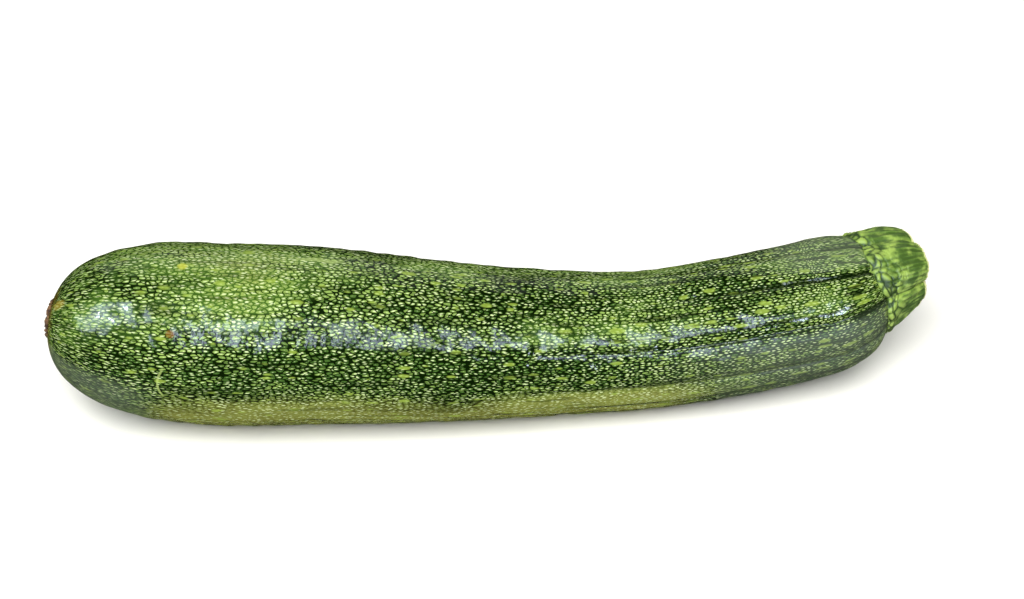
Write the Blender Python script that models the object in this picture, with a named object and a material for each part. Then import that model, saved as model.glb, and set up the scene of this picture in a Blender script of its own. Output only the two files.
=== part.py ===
"""A whole zucchini lying on a table: the fruit, its cut peduncle and the scar that its flower left.

Every surface is first worked out on a straight fruit, as a distance along the middle line from the
blossom end, a distance out from that line, and an angle round it. Then it is carried onto the bent line.
Angles run from 0, the far side, over 90, the top, and 180, the near side, to 270, the underside.
"""

import bmesh
import bpy
import numpy as np

# Body of the fruit, in metres; lengths run along the middle line from the tip of the blossom end
MM = 0.001
FOOT_ALONG = 215.7 * MM
BELLY_RADIUS = 24.1 * MM
NECK_RADIUS = 18.1 * MM
BELLY_END = 45.0 * MM
NECK_START = 162.0 * MM

# Rounded ends, each the quarter of a superellipse
BLOSSOM_END_LENGTH = 43.0 * MM
BLOSSOM_END_POWER = 2.45
STEM_END_LENGTH = 19.5 * MM
STEM_END_POWER = 2.35
STEM_END_ALONG = FOOT_ALONG + 4.7 * MM

# Bend of the middle line: the neck turns away and lifts, last in a short step, and the tip turns up
BEND_START = 75.0 * MM
BEND_AWAY = 18.3 * MM
BEND_POWER = 2.4
LIFT_START = 150.0 * MM
LIFT = 4.5 * MM
LIFT_POWER = 1.6
STEP_START = 198.0 * MM
STEP_LIFT = 2.2 * MM
TIP_LENGTH = 52.0 * MM
TIP_AWAY = 3.8 * MM
TIP_LIFT = 2.0 * MM

# The fruit sinks this far into the table, where its underside is flat instead
FLAT_DEPTH = 0.4 * MM

# Ten grooves round the neck, with a raised rib between each pair; the angles are those at the
# peduncle, and the ribs turn a little round the fruit on their way there, least on the near side
GROOVE_ANGLES = (8.0, 49.0, 85.0, 121.0, 157.0, 193.0, 226.0, 253.0, 288.0, 327.0)
RIB_START = 85.0 * MM
RIB_FULL = 205.0 * MM
RIB_HEIGHT = 1.2 * MM
RIB_MEAN = 0.7
RIB_ROUNDNESS = 0.6
RIB_TURN = -19.0
RIB_TURN_SPARED = 0.62
RIB_TURN_SPARED_AT = 172.0
RIB_TURN_LENGTH = 20.0 * MM
RIB_TURN_END = FOOT_ALONG - 4.5 * MM

# Seat in the blossom end, which holds the scar with a gap all round
SEAT_RADIUS = 6.0 * MM
SEAT_FLOOR_RADIUS = 5.65 * MM
SEAT_DEPTH = 0.85 * MM
SEAT_GAP = 0.33 * MM

# Blossom scar: its outline, and its profile from the base to the stump of the style, as the height
# over the base, the share of the radius and the share of the rim's raggedness
SCAR_RADIUS = 5.1 * MM
SCAR_RAGGEDNESS = 0.15 * MM
SCAR_PROFILE = (
    (0.0 * MM, 0.95, 0.3),
    (0.15 * MM, 1.0, 1.0),
    (1.2 * MM, 1.0, 1.0),
    (1.65 * MM, 0.92, 1.0),
    (1.2 * MM, 0.68, 0.8),
    (0.95 * MM, 0.26, 0.4),
    (1.55 * MM, 0.18, 0.4),
)
SCAR_TOP = 1.65 * MM

# Peduncle: five lobes, each from every second groove to the next, with a crease down its middle;
# the lists give the five lobes in turn, from the one at the top round by the near side
LOBE_FOOT_RADII = tuple(radius * MM for radius in (15.3, 14.8, 14.0, 13.8, 14.8))
LOBE_CUT_RADII = tuple(radius * MM for radius in (12.7, 11.2, 10.0, 10.0, 11.0))
LOBE_TAPERS = (4.5, 2.4, 1.3, 1.4, 2.4)
LOBE_GROOVE_DEPTH = 2.5 * MM
LOBE_ROUNDNESS = 0.45
CREASE_DEPTH = 0.8 * MM
CREASE_WIDTH = 9.0
CREASE_FADE = 0.7
FOOT_SWELL = 0.6 * MM
FOOT_SWELL_AT = 0.14
FOOT_GAP = 0.7 * MM

# The cut is slanted: the stalk is longest at one angle round it
PEDUNCLE_LENGTH = 10.8 * MM
CUT_SLANT = np.tan(np.radians(21.0))
CUT_LONG_SIDE = 118.0
CUT_ROUNDING = 1.2 * MM

# Middle of the footprint, which is the origin
ORIGIN_FORWARD = 113.3 * MM
ORIGIN_AWAY = 4.4 * MM

# Fineness of the faces
FRUIT_STEPS_PER_RIB = 6
PEDUNCLE_STEPS_PER_RIB = 8
BLOSSOM_END_RINGS = 11
BODY_RINGS = 26
STEM_END_RINGS = 11
SCAR_SIDES = 40
UNDER_RINGS = 4
SIDE_RINGS = 13

# Stations at which the bent middle line is worked out
STATIONS = np.arange(-5.0, 241.0, 0.5) * MM


def ease(share):
    """Goes from 0 to 1 with level ends, and stays at 0 or 1 outside them."""
    inside = np.clip(share, 0.0, 1.0)
    return inside * inside * (3.0 - 2.0 * inside)


def power_rise(along, start, power):
    """Rises from 0 at start to 1 at the peduncle's foot as a power, and runs straight on from there."""
    share = np.maximum((along - start) / (FOOT_ALONG - start), 0.0)
    return np.minimum(share, 1.0) ** power + power * np.maximum(share - 1.0, 0.0)


def body_radius(along):
    """Gives the radius without the rounded ends: a full belly that narrows to the neck."""
    narrowing = ease((along - BELLY_END) / (NECK_START - BELLY_END))
    return BELLY_RADIUS + (NECK_RADIUS - BELLY_RADIUS) * narrowing


def middle_line():
    """Gives the bent middle line's points and directions at the stations."""
    tip = np.maximum(1.0 - STATIONS / TIP_LENGTH, 0.0) ** 2
    away = BEND_AWAY * power_rise(STATIONS, BEND_START, BEND_POWER) + TIP_AWAY * tip
    step = STEP_LIFT * ease((STATIONS - STEP_START) / (FOOT_ALONG - STEP_START))
    lift = LIFT * power_rise(STATIONS, LIFT_START, LIFT_POWER) + step + TIP_LIFT * tip
    height = body_radius(STATIONS) - FLAT_DEPTH + lift
    away_slope = np.gradient(away, STATIONS)
    height_slope = np.gradient(height, STATIONS)
    forward_slope = np.sqrt(1.0 - away_slope ** 2 - height_slope ** 2)
    steps = np.diff(STATIONS) * (forward_slope[1:] + forward_slope[:-1]) / 2.0
    forward = np.concatenate(([0.0], np.cumsum(steps))) + STATIONS[0]
    points = np.stack((forward - ORIGIN_FORWARD, away - ORIGIN_AWAY, height), axis=-1)
    directions = np.stack((forward_slope, away_slope, height_slope), axis=-1)
    return points, directions


LINE_POINTS, LINE_DIRECTIONS = middle_line()


def on_line(values, along):
    """Reads the middle line's values at any distances along it."""
    return np.stack([np.interp(along, STATIONS, values[:, axis]) for axis in range(3)], axis=-1)


def place(along, out, angle):
    """Carries straight coordinates onto the bent line, and flattens what would sink into the table."""
    along, out, angle = np.broadcast_arrays(along, out, np.radians(angle))
    direction = on_line(LINE_DIRECTIONS, along)
    away = np.stack((-direction[..., 1], direction[..., 0], np.zeros_like(along)), axis=-1)
    away /= np.linalg.norm(away, axis=-1, keepdims=True)
    up = np.cross(direction, away)
    points = on_line(LINE_POINTS, along)
    points = points + (out * np.cos(angle))[..., None] * away + (out * np.sin(angle))[..., None] * up
    points[..., 2] = np.maximum(points[..., 2], 0.0)
    return points


def around(steps):
    """Gives the angles round the fruit, with so many steps from each groove to the next."""
    starts = np.array(GROOVE_ANGLES)
    widths = np.diff(np.append(starts, starts[0] + 360.0))
    share = np.tile(np.arange(steps) / steps, len(starts))
    return np.repeat(starts, steps) + share * np.repeat(widths, steps)


def position_between(angle, edges):
    """Gives how many edges an angle is past the first one, counting parts of the way to the next."""
    closed = np.append(edges, edges[0] + 360.0)
    turned = np.mod(angle - edges[0], 360.0) + edges[0]
    return np.interp(turned, closed, np.arange(len(closed)))


def arch(angle, grooves):
    """Gives 0 at each groove and 1 half way to the next one."""
    position = position_between(angle, grooves)
    share = position - np.floor(position)
    return 4.0 * share * (1.0 - share)


def rib_turn(along, foot_angle):
    """Gives how far a line along a rib lies turned from the angle at which it meets the peduncle."""
    before_end = np.maximum(RIB_TURN_END - along, 0.0)
    near = np.maximum(np.cos(np.radians(foot_angle - RIB_TURN_SPARED_AT)), 0.0) ** 2
    return RIB_TURN * (1.0 - RIB_TURN_SPARED * near) * (1.0 - np.exp(-before_end / RIB_TURN_LENGTH))


def rib_relief(along, foot_angle):
    """Raises the ribs and sinks the grooves about the body's radius, more and more towards the neck."""
    height = RIB_HEIGHT * ease((along - RIB_START) / (RIB_FULL - RIB_START))
    return height * (arch(foot_angle, GROOVE_ANGLES) ** RIB_ROUNDNESS - RIB_MEAN)


def fruit_radius(along, foot_angle):
    """Gives the fruit's radius, with its ribs and both rounded ends."""
    to_tip = np.clip(1.0 - along / BLOSSOM_END_LENGTH, 0.0, 1.0)
    to_stem = np.clip(1.0 - (STEM_END_ALONG - along) / STEM_END_LENGTH, 0.0, 1.0)
    tip_share = (1.0 - to_tip ** BLOSSOM_END_POWER) ** (1.0 / BLOSSOM_END_POWER)
    stem_share = (1.0 - to_stem ** STEM_END_POWER) ** (1.0 / STEM_END_POWER)
    return (body_radius(along) + rib_relief(along, foot_angle)) * tip_share * stem_share


def stem_end_along(out, angle):
    """Gives how far along the rounded stem end is at a distance out: its radius, solved the other way."""
    share = np.clip(out / (NECK_RADIUS + rib_relief(STEM_END_ALONG, angle)), 0.0, 1.0)
    height = (1.0 - share ** STEM_END_POWER) ** (1.0 / STEM_END_POWER)
    return STEM_END_ALONG - STEM_END_LENGTH * (1.0 - height)


def seat_along():
    """Gives where the blossom end is as wide as the seat of the scar."""
    share = (SEAT_RADIUS / BELLY_RADIUS) ** BLOSSOM_END_POWER
    return BLOSSOM_END_LENGTH * (1.0 - (1.0 - share) ** (1.0 / BLOSSOM_END_POWER))


def material(name, colour, roughness):
    """Makes a plain finish from a linear colour and a roughness."""
    made = bpy.data.materials.new(name)
    made.use_nodes = True
    surface = made.node_tree.nodes["Principled BSDF"]
    surface.inputs["Base Color"].default_value = (*colour, 1.0)
    surface.inputs["Roughness"].default_value = roughness
    surface.inputs["Metallic"].default_value = 0.0
    return made


def closed_solid(name, rings, first_pole, last_pole, finish):
    """Joins a row of rings with faces and closes both of its ends with a fan round a pole."""
    mesh = bmesh.new()
    loops = [[mesh.verts.new(point) for point in ring] for ring in rings]
    for ring, following in zip(loops[:-1], loops[1:]):
        for side in range(len(ring)):
            after = (side + 1) % len(ring)
            mesh.faces.new((ring[side], ring[after], following[after], following[side]))
    for ring, point in ((loops[0], first_pole), (loops[-1], last_pole)):
        pole = mesh.verts.new(point)
        for corner, after in zip(ring, ring[1:] + ring[:1]):
            mesh.faces.new((corner, after, pole))
    bmesh.ops.recalc_face_normals(mesh, faces=mesh.faces)
    data = bpy.data.meshes.new(name)
    mesh.to_mesh(data)
    mesh.free()
    data.shade_smooth()
    data.materials.append(finish)
    made = bpy.data.objects.new(name, data)
    bpy.context.scene.collection.objects.link(made)


def make_fruit():
    """Builds the fruit from the scar's seat to the rounded stem end, which the peduncle's foot covers."""
    rim = seat_along()
    first_turn = np.arccos(1.0 - rim / BLOSSOM_END_LENGTH)
    blossom_turns = np.linspace(first_turn, np.pi / 2.0, BLOSSOM_END_RINGS)
    blossom_end = BLOSSOM_END_LENGTH * (1.0 - np.cos(blossom_turns))
    body = np.linspace(BLOSSOM_END_LENGTH, STEM_END_ALONG - STEM_END_LENGTH, BODY_RINGS)
    stem_turns = np.linspace(np.pi / 2.0, 0.0, STEM_END_RINGS)
    stem_end = STEM_END_ALONG - STEM_END_LENGTH * (1.0 - np.cos(stem_turns))
    along = np.concatenate((blossom_end, body[1:-1], stem_end[:-1]))[:, None]
    foot_angle = around(FRUIT_STEPS_PER_RIB)[None, :]
    angle = foot_angle + rib_turn(along, foot_angle)
    skin = place(along, fruit_radius(along, foot_angle), angle)
    floor = rim + SEAT_DEPTH
    seat = place(np.array([[floor], [rim + SEAT_GAP / 2.0]]), SEAT_FLOOR_RADIUS, angle[:1])
    rings = np.concatenate((seat, skin))
    finish = material("dark_green_rind", (0.045, 0.120, 0.018), 0.32)
    closed_solid("fruit", rings, place(floor, 0.0, 0.0), place(STEM_END_ALONG, 0.0, 0.0), finish)


def make_blossom_scar():
    """Builds the dry, ragged disc where the flower sat, with the stump of its style in the middle."""
    angle = np.linspace(0.0, 360.0, SCAR_SIDES, endpoint=False)
    turn = np.radians(angle)
    ragged = (np.sin(3.0 * turn + 0.6) + np.sin(7.0 * turn + 2.0) + np.sin(11.0 * turn)) / 3.0
    base = seat_along() + SEAT_DEPTH - SEAT_GAP
    rings = np.stack([
        place(base - height, share * SCAR_RADIUS + ragged_share * SCAR_RAGGEDNESS * ragged, angle)
        for height, share, ragged_share in SCAR_PROFILE
    ])
    finish = material("dry_scar_cork", (0.085, 0.047, 0.016), 0.85)
    closed_solid("blossom_scar", rings, place(base, 0.0, 0.0), place(base - SCAR_TOP, 0.0, 0.0), finish)


def across_lobes(values, angle):
    """Leads a value smoothly from the middle of each lobe to the middle of the next."""
    position = position_between(angle, GROOVE_ANGLES[1::2])
    before = np.floor(position).astype(int)
    values = np.array(values)
    first = values[before % len(values)]
    second = values[(before + 1) % len(values)]
    return first + (second - first) * ease(position - before)


def peduncle_radius(share, angle):
    """Gives the peduncle's radius from its foot, at share 0, to its cut, at share 1."""
    at_foot = across_lobes(LOBE_FOOT_RADII, angle)
    at_cut = across_lobes(LOBE_CUT_RADII, angle)
    swell = FOOT_SWELL * np.exp(-((share - FOOT_SWELL_AT) / FOOT_SWELL_AT) ** 2)
    outline = at_foot + (at_cut - at_foot) * share ** across_lobes(LOBE_TAPERS, angle) + swell
    groove = LOBE_GROOVE_DEPTH * (1.0 - arch(angle, GROOVE_ANGLES[0::2]) ** LOBE_ROUNDNESS)
    from_creases = np.mod(angle[..., None] - np.array(GROOVE_ANGLES[1::2]) + 180.0, 360.0) - 180.0
    nearest = np.min(np.abs(from_creases), axis=-1)
    crease = CREASE_DEPTH * np.exp(-(nearest / CREASE_WIDTH) ** 2) * (1.0 - CREASE_FADE * share)
    return outline - groove - crease


def cut_along(out, angle):
    """Gives where the slanted cut lies at a distance out from the middle line."""
    slant = CUT_SLANT * out * np.cos(np.radians(angle - CUT_LONG_SIDE))
    return FOOT_ALONG + PEDUNCLE_LENGTH + slant


def make_peduncle():
    """Builds the five-lobed stalk: a foot that fits over the stem end, fluted sides and a slanted cut."""
    angle = around(PEDUNCLE_STEPS_PER_RIB)[None, :]
    foot_out = peduncle_radius(np.zeros((1, 1)), angle)
    under_out = np.linspace(1.0 / UNDER_RINGS, 1.0, UNDER_RINGS)[:, None] * foot_out
    under = place(stem_end_along(under_out, angle) + FOOT_GAP, under_out, angle)

    share = np.linspace(0.0, 1.0, SIDE_RINGS)[1:, None]
    side_out = peduncle_radius(share, angle)
    edge_out = side_out[-1:]
    foot_along = stem_end_along(foot_out, angle) + FOOT_GAP
    edge_along = cut_along(edge_out, angle) - CUT_ROUNDING
    side = place(foot_along + share * (edge_along - foot_along), side_out, angle)

    turns = np.radians(np.array([[45.0], [90.0]]))
    bevel_out = edge_out - CUT_ROUNDING * (1.0 - np.cos(turns))
    bevel = place(cut_along(bevel_out, angle) - CUT_ROUNDING * (1.0 - np.sin(turns)), bevel_out, angle)
    face_out = (edge_out - CUT_ROUNDING) * np.array([[2.0 / 3.0], [1.0 / 3.0]])
    face = place(cut_along(face_out, angle), face_out, angle)

    rings = np.concatenate((under, side, bevel, face))
    under_pole = place(STEM_END_ALONG + FOOT_GAP, 0.0, 0.0)
    cut_pole = place(cut_along(0.0, 0.0), 0.0, 0.0)
    finish = material("fresh_green_stalk", (0.190, 0.330, 0.065), 0.55)
    closed_solid("peduncle", rings, under_pole, cut_pole, finish)


for old in list(bpy.data.objects):
    bpy.data.objects.remove(old)
make_fruit()
make_peduncle()
make_blossom_scar()
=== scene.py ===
import bpy
import numpy as np
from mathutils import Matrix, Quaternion, Vector


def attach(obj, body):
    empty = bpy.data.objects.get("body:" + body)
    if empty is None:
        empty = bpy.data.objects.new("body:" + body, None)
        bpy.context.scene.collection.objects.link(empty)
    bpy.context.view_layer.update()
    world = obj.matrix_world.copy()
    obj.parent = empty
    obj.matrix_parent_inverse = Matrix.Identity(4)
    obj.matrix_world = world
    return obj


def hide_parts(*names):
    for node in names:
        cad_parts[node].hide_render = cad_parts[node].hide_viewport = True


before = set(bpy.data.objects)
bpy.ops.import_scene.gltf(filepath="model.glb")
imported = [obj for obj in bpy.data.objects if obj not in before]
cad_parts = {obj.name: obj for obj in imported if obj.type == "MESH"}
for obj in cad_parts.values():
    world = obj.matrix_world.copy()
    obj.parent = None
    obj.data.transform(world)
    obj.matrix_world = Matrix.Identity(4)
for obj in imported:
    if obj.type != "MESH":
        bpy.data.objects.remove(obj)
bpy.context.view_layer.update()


# Rind: the whole outer skin of the fruit, a thin tough layer that grew in one with the flesh. It runs from
# the scar's seat to under the peduncle's foot, over ten low ribs that rise towards the neck. Its form is
# worked out on a straight fruit, and then carried onto the bent middle line.
MM = 0.001
FULL_TURN = 2.0 * np.pi

# Body, in metres; lengths run along the middle line from the tip of the blossom end, and angles in degrees
# from 0, the far side, over 90, the top, and 180, the near side, to 270, the underside
FOOT_ALONG = 215.7 * MM
BELLY_RADIUS = 24.1 * MM
NECK_RADIUS = 18.1 * MM
BELLY_END = 45.0 * MM
NECK_START = 162.0 * MM

# Rounded ends, each the quarter of a superellipse
BLOSSOM_END_LENGTH = 43.0 * MM
BLOSSOM_END_POWER = 2.45
STEM_END_LENGTH = 19.5 * MM
STEM_END_POWER = 2.35
STEM_END_ALONG = FOOT_ALONG + 4.7 * MM

# Bend of the middle line: the neck turns away and lifts, last in a short step, and the tip turns up
BEND_START = 75.0 * MM
BEND_AWAY = 18.3 * MM
BEND_POWER = 2.4
LIFT_START = 150.0 * MM
LIFT = 4.5 * MM
LIFT_POWER = 1.6
STEP_START = 198.0 * MM
STEP_LIFT = 2.2 * MM
TIP_LENGTH = 52.0 * MM
TIP_AWAY = 3.8 * MM
TIP_LIFT = 2.0 * MM
STATIONS = np.arange(-5.0, 241.0, 0.5) * MM

# The fruit sinks this far into the table, where its underside is flat instead
FLAT_DEPTH = 0.4 * MM

# Ten grooves round the neck, with a raised rib between each pair; the angles are those at the peduncle, and
# the ribs turn a little round the fruit on their way there, least on the near side
GROOVE_ANGLES = (8.0, 49.0, 85.0, 121.0, 157.0, 193.0, 226.0, 253.0, 288.0, 327.0)
RIB_START = 85.0 * MM
RIB_FULL = 205.0 * MM
RIB_HEIGHT = 1.2 * MM
RIB_MEAN = 0.7
RIB_ROUNDNESS = 0.6
RIB_TURN = -19.0
RIB_TURN_SPARED = 0.62
RIB_TURN_SPARED_AT = 172.0
RIB_TURN_LENGTH = 20.0 * MM
RIB_TURN_END = FOOT_ALONG - 4.5 * MM

# Middle of the footprint, which is the origin
ORIGIN_FORWARD = 113.3 * MM
ORIGIN_AWAY = 4.4 * MM

# Seat in the blossom end, which holds the scar with a gap all round; its rings, from the middle out, each as
# a share of the floor's radius and a share of the depth
SEAT_RADIUS = 6.0 * MM
SEAT_FLOOR_RADIUS = 5.65 * MM
SEAT_DEPTH = 0.85 * MM
SEAT_GAP = 0.33 * MM
SEAT_RINGS = ((0.35, 1.0), (0.7, 1.0), (0.97, 1.0), (1.0, 0.85), (1.0, 0.35), (1.02, 0.08))

# Unevenness of growth: long low swells, and short ones that make the edges of a reflection ragged
SWELL_LENGTHS = (26.0 * MM, 70.0 * MM)
SWELL_DEPTH = 0.13 * MM
RIPPLE_LENGTHS = (5.0 * MM, 11.0 * MM)
RIPPLE_DEPTH = 0.085 * MM
WAVES_EACH = 28
UNEVEN_SEED = 4
UNEVEN_FADE = 14.0 * MM

# Fineness of the faces
RIND_STEPS_PER_RIB = 22
BLOSSOM_END_RINGS = 96
BODY_RINGS = 270
STEM_END_RINGS = 56


def ease(share):
    """Goes from 0 to 1 with level ends, as 3t² - 2t³, and stays at 0 or 1 outside them."""
    inside = np.clip(share, 0.0, 1.0)
    return inside * inside * (3.0 - 2.0 * inside)


def power_rise(along, start, power):
    """Rises from 0 at start to 1 at the peduncle's foot as a power, and runs straight on from there."""
    share = np.maximum((along - start) / (FOOT_ALONG - start), 0.0)
    return np.minimum(share, 1.0) ** power + power * np.maximum(share - 1.0, 0.0)


def body_radius(along):
    """Gives the radius without the rounded ends: an eased step from the belly down to the neck."""
    narrowing = ease((along - BELLY_END) / (NECK_START - BELLY_END))
    return BELLY_RADIUS + (NECK_RADIUS - BELLY_RADIUS) * narrowing


def middle_line():
    """Adds up the middle line from its slopes: it bends away as a power of the distance, a radius high."""
    tip = np.maximum(1.0 - STATIONS / TIP_LENGTH, 0.0) ** 2
    away = BEND_AWAY * power_rise(STATIONS, BEND_START, BEND_POWER) + TIP_AWAY * tip
    step = STEP_LIFT * ease((STATIONS - STEP_START) / (FOOT_ALONG - STEP_START))
    lift = LIFT * power_rise(STATIONS, LIFT_START, LIFT_POWER) + step + TIP_LIFT * tip
    height = body_radius(STATIONS) - FLAT_DEPTH + lift
    away_slope = np.gradient(away, STATIONS)
    height_slope = np.gradient(height, STATIONS)
    forward_slope = np.sqrt(1.0 - away_slope ** 2 - height_slope ** 2)
    steps = np.diff(STATIONS) * (forward_slope[1:] + forward_slope[:-1]) / 2.0
    forward = np.concatenate(([0.0], np.cumsum(steps))) + STATIONS[0]
    points = np.stack((forward - ORIGIN_FORWARD, away - ORIGIN_AWAY, height), axis=-1)
    directions = np.stack((forward_slope, away_slope, height_slope), axis=-1)
    return points, directions


LINE_POINTS, LINE_DIRECTIONS = middle_line()


def on_line(values, along):
    """Reads the middle line's values at any distances along it, straight between its stations."""
    return np.stack([np.interp(along, STATIONS, values[:, axis]) for axis in range(3)], axis=-1)


def place(along, out, angle):
    """Carries straight coordinates onto the bent line: its point, plus out times the turned direction."""
    along, out, angle = np.broadcast_arrays(along, out, np.radians(angle))
    direction = on_line(LINE_DIRECTIONS, along)
    away = np.stack((-direction[..., 1], direction[..., 0], np.zeros_like(along)), axis=-1)
    away /= np.linalg.norm(away, axis=-1, keepdims=True)
    up = np.cross(direction, away)
    points = on_line(LINE_POINTS, along)
    points = points + (out * np.cos(angle))[..., None] * away + (out * np.sin(angle))[..., None] * up
    points[..., 2] = np.maximum(points[..., 2], 0.0)
    return points


def around(steps):
    """Gives the angles round the fruit, with so many even steps from each groove to the next."""
    starts = np.array(GROOVE_ANGLES)
    widths = np.diff(np.append(starts, starts[0] + 360.0))
    share = np.tile(np.arange(steps) / steps, len(starts))
    return np.repeat(starts, steps) + share * np.repeat(widths, steps)


def position_between(angle, edges):
    """Gives how many edges an angle is past the first one, counting parts of the way to the next."""
    closed = np.append(edges, edges[0] + 360.0)
    turned = np.mod(angle - edges[0], 360.0) + edges[0]
    return np.interp(turned, closed, np.arange(len(closed)))


def arch(angle, grooves):
    """Gives the parabola 4t(1 - t) from each groove to the next: 0 at a groove, 1 half way."""
    position = position_between(angle, grooves)
    share = position - np.floor(position)
    return 4.0 * share * (1.0 - share)


def rib_turn(along, foot_angle):
    """Gives how far a line along a rib lies turned from where it meets the peduncle.

    It is an exponential approach to a limit, which a squared cosine lowers on the near side."""
    before_end = np.maximum(RIB_TURN_END - along, 0.0)
    near = np.maximum(np.cos(np.radians(foot_angle - RIB_TURN_SPARED_AT)), 0.0) ** 2
    return RIB_TURN * (1.0 - RIB_TURN_SPARED * near) * (1.0 - np.exp(-before_end / RIB_TURN_LENGTH))


def rib_relief(along, foot_angle):
    """Raises ribs as a power of the arch between grooves, more and more towards the neck."""
    height = RIB_HEIGHT * ease((along - RIB_START) / (RIB_FULL - RIB_START))
    return height * (arch(foot_angle, GROOVE_ANGLES) ** RIB_ROUNDNESS - RIB_MEAN)


def fruit_radius(along, foot_angle):
    """Gives the body's radius with its ribs, times a quarter superellipse at each end."""
    to_tip = np.clip(1.0 - along / BLOSSOM_END_LENGTH, 0.0, 1.0)
    to_stem = np.clip(1.0 - (STEM_END_ALONG - along) / STEM_END_LENGTH, 0.0, 1.0)
    tip_share = (1.0 - to_tip ** BLOSSOM_END_POWER) ** (1.0 / BLOSSOM_END_POWER)
    stem_share = (1.0 - to_stem ** STEM_END_POWER) ** (1.0 / STEM_END_POWER)
    return (body_radius(along) + rib_relief(along, foot_angle)) * tip_share * stem_share


def seat_along():
    """Gives where the blossom end is as wide as the seat: the superellipse solved for its length."""
    share = (SEAT_RADIUS / BELLY_RADIUS) ** BLOSSOM_END_POWER
    return BLOSSOM_END_LENGTH * (1.0 - (1.0 - share) ** (1.0 / BLOSSOM_END_POWER))


def waves(along, angle, lengths, seed):
    """Sums sine waves of random heading and phase, each with a whole number of crests round the fruit."""
    draw = np.random.default_rng(seed)
    own_lengths = draw.uniform(*lengths, WAVES_EACH)
    headings = draw.uniform(0.0, FULL_TURN, WAVES_EACH)
    phases = draw.uniform(0.0, FULL_TURN, WAVES_EACH)
    total = np.zeros(np.broadcast(along, angle).shape)
    for length, heading, phase in zip(own_lengths, headings, phases):
        crests = np.round(FULL_TURN * BELLY_RADIUS / length * np.cos(heading))
        total += np.sin(FULL_TURN * along / length * np.sin(heading) + crests * np.radians(angle) + phase)
    return total / np.sqrt(WAVES_EACH / 2.0)


def unevenness(along, angle):
    """Sinks the skin below its true radius by two scales of waves, down from their highest crest."""
    uneven = SWELL_DEPTH * waves(along, angle, SWELL_LENGTHS, UNEVEN_SEED)
    uneven = uneven + RIPPLE_DEPTH * waves(along, angle, RIPPLE_LENGTHS, UNEVEN_SEED + 1)
    return (uneven - np.max(uneven)) * ease((along - seat_along()) / UNEVEN_FADE)


def rind_rings():
    """Gives distance along, distance out, angle and angle at the peduncle of the rings' points.

    At the ends the rings are spaced as turns of a quarter circle."""
    rim = seat_along()
    blossom_turns = np.linspace(np.arccos(1.0 - rim / BLOSSOM_END_LENGTH), np.pi / 2.0, BLOSSOM_END_RINGS)
    blossom_end = BLOSSOM_END_LENGTH * (1.0 - np.cos(blossom_turns))
    body = np.linspace(BLOSSOM_END_LENGTH, STEM_END_ALONG - STEM_END_LENGTH, BODY_RINGS)
    stem_turns = np.linspace(np.pi / 2.0, 0.0, STEM_END_RINGS)
    stem_end = STEM_END_ALONG - STEM_END_LENGTH * (1.0 - np.cos(stem_turns))
    along = np.concatenate((blossom_end, body[1:-1], stem_end[:-1]))[:, None]
    foot_angle = around(RIND_STEPS_PER_RIB)[None, :]
    angle = foot_angle + rib_turn(along, foot_angle)
    out = fruit_radius(along, foot_angle)
    out = out + unevenness(along, angle) * out / BELLY_RADIUS
    seat_out, seat_deep = (np.array(SEAT_RINGS)[:, part, None] for part in range(2))
    ones = np.ones_like(angle[:1])
    along = np.concatenate(((seat_deep * SEAT_DEPTH + rim) * ones, along * ones))
    out = np.concatenate((seat_out * SEAT_FLOOR_RADIUS * ones, out))
    angle = np.concatenate((np.repeat(angle[:1], len(SEAT_RINGS), axis=0), angle))
    return along, out, angle, foot_angle


def closed_surface(name, rings, poles, finish, layers):
    """Makes a mesh of quads between rings and a fan to a pole at each end, and stores its points' values."""
    count, sides = rings.shape[:2]
    index = np.arange(count * sides).reshape(count, sides)
    after = np.roll(index, -1, axis=1)
    quads = np.stack((index[:-1], after[:-1], after[1:], index[1:]), axis=-1).reshape(-1, 4)
    first = np.full(sides, count * sides)
    first_fan = np.stack((after[0], index[0], first), axis=-1)
    last_fan = np.stack((index[-1], after[-1], first + 1), axis=-1)
    points = np.concatenate((rings.reshape(-1, 3), np.reshape(poles, (2, 3))))
    mesh = bpy.data.meshes.new(name)
    mesh.from_pydata(points.tolist(), [], quads.tolist() + first_fan.tolist() + last_fan.tolist())
    for layer, values in layers.items():
        ends = np.stack((values[0].mean(axis=0), values[-1].mean(axis=0)))
        flat = np.concatenate((values.reshape(-1, *values.shape[2:]), ends))
        is_vector = flat.ndim == 2
        attribute = mesh.attributes.new(layer, "FLOAT_VECTOR" if is_vector else "FLOAT", "POINT")
        attribute.data.foreach_set("vector" if is_vector else "value", flat.astype(np.float32).ravel())
    mesh.shade_smooth()
    mesh.materials.append(finish)
    made = bpy.data.objects.new(name, mesh)
    bpy.context.scene.collection.objects.link(made)
    return made


def unrolled(mesh, name, sides, along, round_way):
    """Stores how far along and round the surface each face corner lies, with one seam, at the first side.

    A corner on the last side before the seam takes the first side's place plus a whole turn."""
    corners = np.empty(len(mesh.loops), dtype=np.int32)
    mesh.loops.foreach_get("vertex_index", corners)
    ring, side = np.divmod(np.minimum(corners, along.size - 1), sides)
    starts = np.empty(len(mesh.polygons), dtype=np.int32)
    totals = np.empty(len(mesh.polygons), dtype=np.int32)
    mesh.polygons.foreach_get("loop_start", starts)
    mesh.polygons.foreach_get("loop_total", totals)
    highest = np.repeat(np.maximum.reduceat(side, starts), totals)
    over = (side == 0) & (highest == sides - 1)
    turn = (round_way[ring, sides - 1] - round_way[ring, 0]) * sides / (sides - 1)
    unrolled_round = round_way[ring, side] + np.where(over, turn, 0.0)
    values = np.stack((along[ring, side], unrolled_round, np.zeros(len(corners))), axis=-1)
    attribute = mesh.attributes.new(name, "FLOAT_VECTOR", "CORNER")
    attribute.data.foreach_set("vector", values.astype(np.float32).ravel())


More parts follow.
